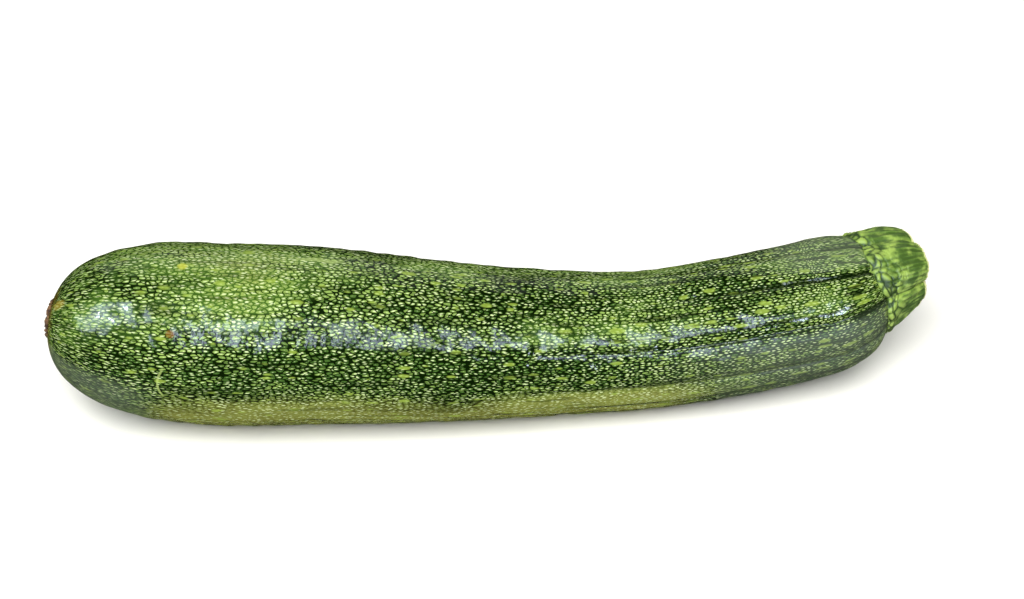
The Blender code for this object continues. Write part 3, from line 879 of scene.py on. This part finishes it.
def cells(along, angle, size, seed):
    """Scatters a seed in each square of a grid round the stalk, and reads the cells nearest each of them.

    It gives how much nearer the nearest seed is than the second, in sizes, which is 0 on the edges between
    cells, and a random number of the nearest one's own."""
    draw = np.random.default_rng(seed)
    across = FULL_TURN * BLISTER_MEAN_RADIUS
    columns = int(round(across / size))
    rows = int(np.ceil(BLISTERED_LENGTH / size)) + 2
    column, row = np.meshgrid(np.arange(columns), np.arange(rows))
    seed_round = (column + draw.uniform(0.0, 1.0, column.shape)) * across / columns
    seed_along = (row - 1 + draw.uniform(0.0, 1.0, row.shape)) * size
    seed_round = np.concatenate([seed_round.ravel() + turn * across for turn in (-1.0, 0.0, 1.0)])
    seeds = np.stack((np.tile(seed_along.ravel(), 3), seed_round), axis=-1)
    own = np.tile(draw.uniform(0.0, 1.0, column.size), 3)
    sway = BLISTER_SWAY * waves(along, angle, BLISTER_SWAY_LENGTHS, seed + 1)
    round_way = (np.radians(angle) % FULL_TURN) * BLISTER_MEAN_RADIUS + sway
    points = np.stack(np.broadcast_arrays(along + sway, round_way), axis=-1).reshape(-1, 2)
    squared = (points ** 2).sum(1)[:, None] + (seeds ** 2).sum(1)[None, :] - 2.0 * points @ seeds.T
    two = np.argpartition(squared, 1, axis=1)[:, :2]
    apart = np.sqrt(np.maximum(np.take_along_axis(squared, two, axis=1), 0.0))
    edge = np.abs(apart[:, 1] - apart[:, 0]) / size
    nearest = two[np.arange(len(two)), np.argmin(apart, axis=1)]
    shape = np.broadcast(along, angle).shape
    return edge.reshape(shape), own[nearest].reshape(shape)


def wrinkles(share, angle):
    """Sums sharp-crested waves round the stalk, whose crests sway a little on their way along it."""
    draw = np.random.default_rng(WRINKLE_SEED)
    counts = draw.integers(*WRINKLE_CRESTS, WRINKLES)
    phases = draw.uniform(0.0, FULL_TURN, WRINKLES)
    sways = draw.uniform(-1.0, 1.0, WRINKLES)
    total = np.zeros(np.broadcast(share, angle).shape)
    for crests, phase, sway in zip(counts, phases, sways):
        swayed = np.radians(angle + WRINKLE_SWAY * sway * np.sin(WRINKLE_SWAY_TWIST * share + phase))
        total += 1.0 - 2.0 * np.abs(np.sin(crests / 2.0 * swayed + phase))
    return total / np.sqrt(WRINKLES)


def patches(share, angle, pair):
    """Multiplies two sine waves that run round the stalk and twist on their way along it."""
    first, second = (
        np.sin(np.radians(crests * angle + phase) + twist * share) for crests, twist, phase in pair
    )
    return first * second


def side_relief(share, angle, along):
    """Gives the dome and the share of the blisters, the wrinkles and their share, and the relief of both.

    The relief is the fall from the highest dome and from the highest wrinkle, each times depth and share."""
    patchy = 0.5 + 0.5 * patches(share, angle, BLISTER_PATCHES)
    blistered = ease(BLISTER_REACH_FADE - share / (BLISTER_REACH + BLISTER_REACH_MORE * patchy))
    blistered = blistered * ease(share / BLISTERS_FULL_AFTER + BLISTERS_START)
    edges, own = cells(along - FOOT_ALONG + BLISTER_MARGIN, angle, BLISTER_SIZE, BLISTER_SEED)
    own_height = DOME_LOWEST + (1.0 - DOME_LOWEST) * own
    dome = np.clip(edges / DOME_WIDTH, 0.0, 1.0) ** DOME_ROUNDNESS * own_height
    ridges = wrinkles(share, angle)
    folded = FOLD_MEAN + (1.0 - FOLD_MEAN) * patches(share, angle, FOLD_PATCHES)
    wrinkled = ease(share / WRINKLES_FULL_AT) * (1.0 - WRINKLES_UNDER_BLISTERS * blistered) * folded
    fall = np.clip(ridges, *WRINKLE_LIMITS) - WRINKLE_LIMITS[1]
    relief = BLISTER_HEIGHT * (dome - 1.0) * blistered + WRINKLE_DEPTH * fall * wrinkled
    return dome, blistered, ridges, wrinkled, relief


def cut_sink(share, angle):
    """Sinks the cut face by an eased step from its rim, and roughens it with crossed waves of fibres."""
    turn = np.radians(angle)
    inward = FIBRES_INWARD * share + FIBRE_WAVE_SIZE * np.sin(FIBRE_WAVES * turn)
    fibres = np.sin(FIBRES_ROUND * turn) * np.sin(inward)
    from_rim = 1.0 - share
    sunk = CUT_SINK * ease(from_rim / CUT_SINK_OVER)
    return sunk + FIBRE_DEPTH * (1.0 - fibres) * ease(from_rim / FIBRE_FADE)


# Fresh squash stalk: firm green flesh under a thin matt skin, paler than the fruit. The eye gets bright
# yellow-green blisters, pale lengthwise ridges, and a damp, fibrous, cream-green cut. The dark in the gaps
# between blisters, in the folds and under the foot is painted shade.
STALK_SHADE = "#162c06"
STALK_MID = "#58782e"
STALK_BLISTER = "#8ba64a"
STALK_RIDGE = "#b2c486"
CUT_CORE = "#c9cc94"
CUT_EDGE = "#8b9c4c"
STALK_ROUGHNESS = (0.42, 0.57)
STALK_ROUGH_BLOTCHES = (0.3, 0.7)

# Blotches of about 3 mm and a grain of about 0.7 mm, as changes in each metre with their detail; blotches
# also break up the ridges
BLOTCH_SCALE, BLOTCH_DETAIL = 320.0, 3.0
GRAIN_SCALE, GRAIN_DETAIL = 1400.0, 2.0
GRAIN_STRENGTH, GRAIN_DEPTH = 0.6, 0.15 * MM
RIDGE_BY_BLOTCH = 4.0

# Covers: the value at which a colour starts to show, the value at which it covers, and how strongly it does
BLOTCH_COVER = (0.42, 0.66)
RIDGE_COVER = (2.5, 4.2, 0.75)
FOLD_SHADE_COVER = (2.0, 0.5, 0.62)
BLISTER_COVER = (0.12, 0.65, 0.85)
FOOT_SHADE_COVER = (0.42, 0.95, 0.9)
CUT_EDGE_COVER = (0.55, 1.0)
CUT_FROM = 0.02
CUT_COVER = (0.4, 0.6)


def fresh_squash_stalk():
    """Lays ridges, folds and blisters over a blotched green, and the cut's colours where the cut is.

    The dark of the folds, of the gaps between blisters and under the foot is painted shade.
    """
    finish, tree, shader = new_finish("fresh_squash_stalk")
    blister, ridge, foot, cut = [
        add_node(tree, "ShaderNodeAttribute", {}, attribute_name=layer).outputs["Fac"]
        for layer in ("blister", "ridge", "foot", "cut")
    ]
    place_here = add_node(tree, "ShaderNodeTexCoord", {}).outputs["Object"]
    blotch, grain = [
        add_node(tree, "ShaderNodeTexNoise", {
            "Vector": place_here, "Scale": scale, "Detail": detail,
        }).outputs["Fac"]
        for scale, detail in ((BLOTCH_SCALE, BLOTCH_DETAIL), (GRAIN_SCALE, GRAIN_DETAIL))
    ]
    broken_ridge = add_node(tree, "ShaderNodeMath", {
        0: blotch, 1: RIDGE_BY_BLOTCH, 2: ridge,
    }, operation="MULTIPLY_ADD").outputs[0]
    skin = paint(tree, linear(STALK_MID), linear(STALK_BLISTER), blotch, *BLOTCH_COVER)
    skin = paint(tree, skin, linear(STALK_RIDGE), broken_ridge, *RIDGE_COVER)
    # Painted shade in the folds between ridges
    skin = paint(tree, skin, linear(STALK_SHADE), broken_ridge, *FOLD_SHADE_COVER)
    skin = paint(tree, skin, linear(STALK_BLISTER), blister, *BLISTER_COVER)
    # Painted shade under the foot and in the gaps between blisters
    skin = paint(tree, skin, linear(STALK_SHADE), foot, *FOOT_SHADE_COVER)
    face = paint(tree, linear(CUT_CORE), linear(CUT_EDGE), cut, *CUT_EDGE_COVER)
    is_cut = add_node(tree, "ShaderNodeMath", {0: cut, 1: CUT_FROM}, operation="GREATER_THAN").outputs[0]
    skin = paint(tree, skin, face, is_cut, *CUT_COVER)
    tree.links.new(skin, shader.inputs["Base Color"])
    bump = add_node(tree, "ShaderNodeBump", {
        "Height": grain, "Strength": GRAIN_STRENGTH, "Distance": GRAIN_DEPTH,
    })
    tree.links.new(bump.outputs[0], shader.inputs["Normal"])
    rough = add_node(tree, "ShaderNodeMapRange", {
        "Value": blotch, **span(STALK_ROUGH_BLOTCHES, STALK_ROUGHNESS),
    })
    tree.links.new(rough.outputs[0], shader.inputs["Roughness"])
    return finish


def make_peduncle():
    """Builds the stalk from rings: under its foot, up its side, over the rounded rim and in over the cut."""
    angle = around(PEDUNCLE_STEPS_PER_RIB)[None, :]
    share = np.linspace(0.0, 1.0, SIDE_RINGS)[:, None]
    foot_out = peduncle_radius(np.zeros((1, 1)), angle)
    foot_along = stem_end_along(foot_out, angle) + FOOT_GAP
    edge_out = peduncle_radius(np.ones((1, 1)), angle)
    edge_along = cut_along(edge_out, angle) - CUT_ROUNDING
    side_along = foot_along + share * (edge_along - foot_along)
    dome, blistered, ridges, wrinkled, relief = side_relief(share, angle, side_along)
    side_out = peduncle_radius(share, angle) + relief

    under_out = np.linspace(1.0 / UNDER_RINGS, 1.0, UNDER_RINGS)[:-1, None] * side_out[:1]
    under_along = stem_end_along(under_out, angle) + FOOT_GAP
    turns = np.linspace(0.0, np.pi / 2.0, BEVEL_RINGS)[1:, None]
    rim_out = side_out[-1:]
    bevel_out = rim_out - CUT_ROUNDING * (1.0 - np.cos(turns))
    bevel_along = cut_along(bevel_out, angle) - CUT_ROUNDING * (1.0 - np.sin(turns))
    face_share = np.linspace(1.0, 0.0, FACE_RINGS + 1)[1:-1, None]
    face_out = (rim_out - CUT_ROUNDING) * face_share
    face_along = cut_along(face_out, angle) - cut_sink(face_share, angle)

    along = np.concatenate((under_along, side_along, bevel_along, face_along))
    out = np.concatenate((under_out, side_out, bevel_out, face_out))
    rings = place(along, out, angle)
    under, side = np.ones_like(under_along), np.ones_like(side_along)
    none_after = np.zeros((len(bevel_along) + len(face_along), angle.size))
    cut_share = np.concatenate((np.linspace(0.0, 1.0, len(bevel_along))[:, None], face_share))
    layers = {
        "blister": (0.0 * under, dome * blistered, none_after),
        # Painted shade: all under the foot, and in the gaps between the blisters' domes
        "foot": (under, (1.0 - dome) * blistered, none_after),
        "ridge": (0.0 * under, ridges * (RIDGE_LEAST + (1.0 - RIDGE_LEAST) * wrinkled), none_after),
        "cut": (0.0 * under, 0.0 * side, cut_share + none_after),
    }
    layers = {layer: np.concatenate(values) for layer, values in layers.items()}
    poles = (place(STEM_END_ALONG + FOOT_GAP, 0.0, 0.0), place(cut_along(0.0, 0.0) - CUT_SINK, 0.0, 0.0))
    peduncle = closed_surface("stalk", rings, poles, fresh_squash_stalk(), layers)
    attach(peduncle, "root")
    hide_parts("peduncle")


make_peduncle()


# Blossom scar: the dry corky disc that the flower left, grown into the blossom end. It has a ragged rim,
# cracks that run out to it, a dark ring, and the stump of the style in its middle.
SCAR_RADIUS = 5.4 * MM
SCAR_RAGGEDNESS = 0.15 * MM
SCAR_WAVES = ((3.0, 0.6), (7.0, 2.0), (11.0, 0.0))
SCAR_SIDES = 200
SCAR_RINGS = 90

# Profile from the base to the stump: height over the base, share of the radius and share of the raggedness
SCAR_PROFILE = (
    (0.0 * MM, 0.95, 0.3),
    (0.15 * MM, 1.0, 1.0),
    (1.2 * MM, 1.0, 1.0),
    (1.65 * MM, 0.92, 1.0),
    (1.2 * MM, 0.68, 0.8),
    (0.95 * MM, 0.26, 0.4),
    (1.55 * MM, 0.18, 0.4),
)
SCAR_TOP = 1.65 * MM

# Cracks: how far in degrees each is drawn off its even place, between which shares of the radius it starts,
# and how it sways: by how many degrees, and how fast outwards and round the scar; they also notch the rim
SCAR_SEED = 5
SCAR_CRACKS = 13
CRACK_SCATTER = 9.0
CRACK_STARTS = (0.25, 0.7)
CRACK_START_FADE = 0.2
CRACK_SWAY, CRACK_SWAY_OUT, CRACK_SWAY_ROUND = 7.0, 9.0, 3.0
CRACK_WIDTH = 3.2
CRACK_DEPTH = 0.35 * MM
RIM_NOTCH, RIM_NOTCH_FROM, RIM_NOTCH_FADE = 0.25 * MM, 0.8, 0.2

# Cracks and lumps begin one step up the profile, and the dark ring lies past its rim
RELIEF_FROM, CRACKS_OVER, LUMPS_OVER = 1.0, 1.5, 1.0
LUMP_HEIGHT = 0.08 * MM
LUMPS_ROUND, LUMPS_TWIST = 17.0, 5.0
LUMPS_OUT, LUMP_WAVES, LUMP_WAVE_SIZE = 23.0, 3.0, 2.0
DARK_RING_FROM, DARK_RING_AT, DARK_RING_HALF, DARK_RING = 3.0, 0.62, 0.1, 0.6

# Scar cork: dead dried tissue, matt, in reddish and dark browns. The eye gets a crust, almost black in its
# cracks; its crumbs are about 1 mm, as changes in each metre
CORK_DARK = "#23150a"
CORK_MID = "#483018"
CORK_PALE = "#80603a"
CORK_ROUGHNESS = 0.85
CRUST_SCALE, CRUST_DETAIL = 900.0, 4.0
CRUST_STRENGTH, CRUST_DEPTH = 0.8, 0.3 * MM
CRUST_PALE_COVER = (0.45, 0.7)
CRUST_DARK_COVER = (0.47, 0.3)
CRACK_COVER = (0.2, 0.9, 0.95)


def dry_scar_cork():
    """Lays pale and dark crumbs over brown, and the cracks' dark over both."""
    finish, tree, shader = new_finish("dry_scar_cork")
    crack = add_node(tree, "ShaderNodeAttribute", {}, attribute_name="crack").outputs["Fac"]
    place_here = add_node(tree, "ShaderNodeTexCoord", {}).outputs["Object"]
    crust = add_node(tree, "ShaderNodeTexNoise", {
        "Vector": place_here, "Scale": CRUST_SCALE, "Detail": CRUST_DETAIL,
    }).outputs["Fac"]
    cork = paint(tree, linear(CORK_MID), linear(CORK_PALE), crust, *CRUST_PALE_COVER)
    cork = paint(tree, cork, linear(CORK_DARK), crust, *CRUST_DARK_COVER)
    cork = paint(tree, cork, linear(CORK_DARK), crack, *CRACK_COVER)
    tree.links.new(cork, shader.inputs["Base Color"])
    bump = add_node(tree, "ShaderNodeBump", {
        "Height": crust, "Strength": CRUST_STRENGTH, "Distance": CRUST_DEPTH,
    })
    tree.links.new(bump.outputs[0], shader.inputs["Normal"])
    shader.inputs["Roughness"].default_value = CORK_ROUGHNESS
    return finish


def scar_cracks(share, angle):
    """Gives how near a place is to a crack: a bell across the nearest swaying line, from its start on."""
    draw = np.random.default_rng(SCAR_SEED)
    scatter = draw.uniform(-CRACK_SCATTER, CRACK_SCATTER, SCAR_CRACKS)
    crack_at = np.arange(SCAR_CRACKS) * 360.0 / SCAR_CRACKS + scatter
    crack_from = draw.uniform(*CRACK_STARTS, SCAR_CRACKS)
    sway = CRACK_SWAY * np.sin(CRACK_SWAY_OUT * share + CRACK_SWAY_ROUND * np.radians(angle))
    apart = np.abs(np.mod(angle[..., None] + sway[..., None] - crack_at + 180.0, 360.0) - 180.0)
    reach = ease((share[..., None] - crack_from) / CRACK_START_FADE)
    return np.max(np.exp(-(apart / CRACK_WIDTH) ** 2) * reach, axis=-1)


def scar_lumps(share, turn):
    """Multiplies a wave round the scar and one out from its middle, which sway with each other."""
    outward = LUMPS_OUT * share + LUMP_WAVE_SIZE * np.sin(LUMP_WAVES * turn)
    return LUMP_HEIGHT * np.sin(LUMPS_ROUND * turn + LUMPS_TWIST * share) * np.sin(outward)


def make_scar():
    """Turns the profile round the blossom end's axis, and sinks cracks and lumps into its face."""
    angle = np.linspace(0.0, 360.0, SCAR_SIDES, endpoint=False)[None, :]
    turn = np.radians(angle)
    ragged = sum(np.sin(crests * turn + phase) for crests, phase in SCAR_WAVES) / len(SCAR_WAVES)
    profile = np.array(SCAR_PROFILE)
    knots = np.arange(len(profile))
    reading = np.linspace(0.0, knots[-1], SCAR_RINGS)[:, None]
    height, share, ragged_share = (np.interp(reading, knots, profile[:, part]) for part in range(3))
    crack = scar_cracks(share, angle) * ease((reading - RELIEF_FROM) / CRACKS_OVER)
    sunk = CRACK_DEPTH * crack + LUMP_HEIGHT - scar_lumps(share, turn)
    sunk = sunk * ease((reading - RELIEF_FROM) / LUMPS_OVER)
    notch = RIM_NOTCH * crack * ease((share - RIM_NOTCH_FROM) / RIM_NOTCH_FADE)
    out = share * SCAR_RADIUS + ragged_share * SCAR_RAGGEDNESS * ragged - notch
    base = seat_along() + SEAT_DEPTH - SEAT_GAP
    rings = place(base - height + sunk, out, angle)
    dark_ring = DARK_RING * np.exp(-((share - DARK_RING_AT) / DARK_RING_HALF) ** 2)
    dark_ring = dark_ring * (reading > DARK_RING_FROM)
    poles = (place(base - SCAR_TOP, 0.0, 0.0), place(base, 0.0, 0.0))
    layers = {"crack": np.maximum(crack, dark_ring)[::-1]}
    scar = closed_surface("flower_scar", rings[::-1], poles, dry_scar_cork(), layers)
    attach(scar, "root")
    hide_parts("blossom_scar")


make_scar()


# Table: a pale matt board that the fruit lies on, wide enough to fill the view from every side. It is hidden
# from reflections, so that the underside of the glossy skin stays deep.
TABLE_HALF = 6.0
TABLE_WHITE = "#f4f4f2"
TABLE_ROUGHNESS = 0.9


def make_table():
    """Builds the board as one square at the height of the fruit's underside."""
    finish, _, shader = new_finish("pale_matt_board")
    shader.inputs["Base Color"].default_value = linear(TABLE_WHITE)
    shader.inputs["Roughness"].default_value = TABLE_ROUGHNESS
    mesh = bpy.data.meshes.new("table")
    signs = ((-1, -1), (1, -1), (1, 1), (-1, 1))
    corners = [(side * TABLE_HALF, end * TABLE_HALF, 0.0) for side, end in signs]
    mesh.from_pydata(corners, [], [(0, 1, 2, 3)])
    mesh.materials.append(finish)
    table = bpy.data.objects.new("table", mesh)
    bpy.context.scene.collection.objects.link(table)
    table.visible_glossy = False


make_table()


# Studio: soft light from above and behind, and a long lens that looks down on the fruit from its near side.
# Bluish windows light nothing and show only in the skin's gloss, where they draw its broken highlight; the
# surroundings light it evenly and are hidden from the gloss.
CAMERA_TARGET = Vector((0.00586, 0.00569, 0.02678))
CAMERA_ELEVATION = 40.0
CAMERA_DISTANCE = 0.740
CAMERA_LENS = 100.0
CAMERA_SENSOR = 36.0
CAMERA_CLIP = 0.01

# Windows: azimuth and elevation seen from the target, width and height in metres, radiance, and roll
WINDOW_DISTANCE = 0.9
WINDOW_BLUE = "#d0e0f4"
WINDOWS = {
    "window_tip": (-66.0, 34.0, 0.34, 0.56, 12.5, -32.0),
    "window_glint": (-64.0, 35.0, 0.03, 0.04, 900.0, 0.0),
    "window_tall": (-12.0, 46.0, 0.10, 0.62, 21.0, 0.0),
    "window_middle": (11.0, 44.0, 0.055, 0.50, 20.0, 0.0),
    "window_low": (21.0, 34.0, 0.07, 0.30, 25.0, 0.0),
    "window_thin": (28.0, 34.0, 0.10, 0.11, 11.0, 0.0),
    "window_right": (35.5, 7.0, 0.16, 0.09, 65.0, 0.0),
}

# Soft lights: azimuth, elevation, distance, width and height in metres, watts and colour
WALL_BEHIND = (180.0, 34.0, 1.5, 2.0, 1.0, 3.5, "#ffffff")
CEILING_FILL = (-10.0, 56.0, 1.3, 1.2, 1.0, 36.0, "#fffdf8")

# Surroundings: dimmer towards the viewer, brighter behind the fruit
SURROUNDINGS_FRONT = "#54575a"
SURROUNDINGS_BACK = "#ffffff"
SURROUNDINGS_COVER = (-0.15, 0.8)
SURROUNDINGS_STRENGTH = 0.5


def direction_of(azimuth, elevation):
    """Gives the direction of an azimuth, 0 at the camera and growing to the right, and an elevation."""
    turn, rise = np.radians(azimuth), np.radians(elevation)
    return Vector((np.sin(turn) * np.cos(rise), -np.cos(turn) * np.cos(rise), np.sin(rise)))


def soft_light(name, azimuth, elevation, distance, width, height, watts, colour, roll=0.0):
    """Hangs a rectangle of light at a distance in a direction from the target, facing it and rolled."""
    lamp = bpy.data.lights.new(name, "AREA")
    lamp.shape = "RECTANGLE"
    lamp.size = width
    lamp.size_y = height
    lamp.energy = watts
    lamp.color = linear(colour)[:3]
    made = bpy.data.objects.new(name, lamp)
    towards = direction_of(azimuth, elevation)
    made.location = CAMERA_TARGET + distance * towards
    turned = towards.to_track_quat("Z", "Y") @ Quaternion((0.0, 0.0, 1.0), np.radians(roll))
    made.rotation_euler = turned.to_euler()
    made.visible_camera = False
    bpy.context.scene.collection.objects.link(made)
    return made


def make_lights():
    """Hangs the windows, each with the watts that give its radiance over its area, and two soft lights."""
    for name, (azimuth, elevation, width, height, radiance, roll) in WINDOWS.items():
        watts = radiance * np.pi * width * height
        window = soft_light(
            name, azimuth, elevation, WINDOW_DISTANCE, width, height, watts, WINDOW_BLUE, roll,
        )
        window.visible_diffuse = False
    soft_light("wall_behind", *WALL_BEHIND)
    fill = soft_light("ceiling_fill", *CEILING_FILL)
    fill.visible_glossy = False


def make_surroundings():
    """Surrounds the scene with pale light that grows from the front to the back."""
    world = bpy.data.worlds.new("studio")
    world.use_nodes = True
    tree = world.node_tree
    towards = add_node(tree, "ShaderNodeTexCoord", {}).outputs["Generated"]
    back = add_node(tree, "ShaderNodeSeparateXYZ", {0: towards}).outputs["Y"]
    light = paint(tree, linear(SURROUNDINGS_FRONT), linear(SURROUNDINGS_BACK), back, *SURROUNDINGS_COVER)
    background = tree.nodes["Background"]
    tree.links.new(light, background.inputs["Color"])
    background.inputs["Strength"].default_value = SURROUNDINGS_STRENGTH
    world.cycles_visibility.glossy = False
    bpy.context.scene.world = world


def make_camera():
    """Sets the camera at its distance and elevation from the target, looking at it."""
    lens = bpy.data.cameras.new("camera")
    lens.lens = CAMERA_LENS
    lens.sensor_width = CAMERA_SENSOR
    lens.clip_start = CAMERA_CLIP
    camera = bpy.data.objects.new("camera", lens)
    camera.location = CAMERA_TARGET + CAMERA_DISTANCE * direction_of(0.0, CAMERA_ELEVATION)
    camera.rotation_euler = (np.radians(90.0 - CAMERA_ELEVATION), 0.0, 0.0)
    bpy.context.scene.collection.objects.link(camera)
    bpy.context.scene.camera = camera
    bpy.context.scene.view_settings.view_transform = "Standard"


make_lights()
make_surroundings()
make_camera()
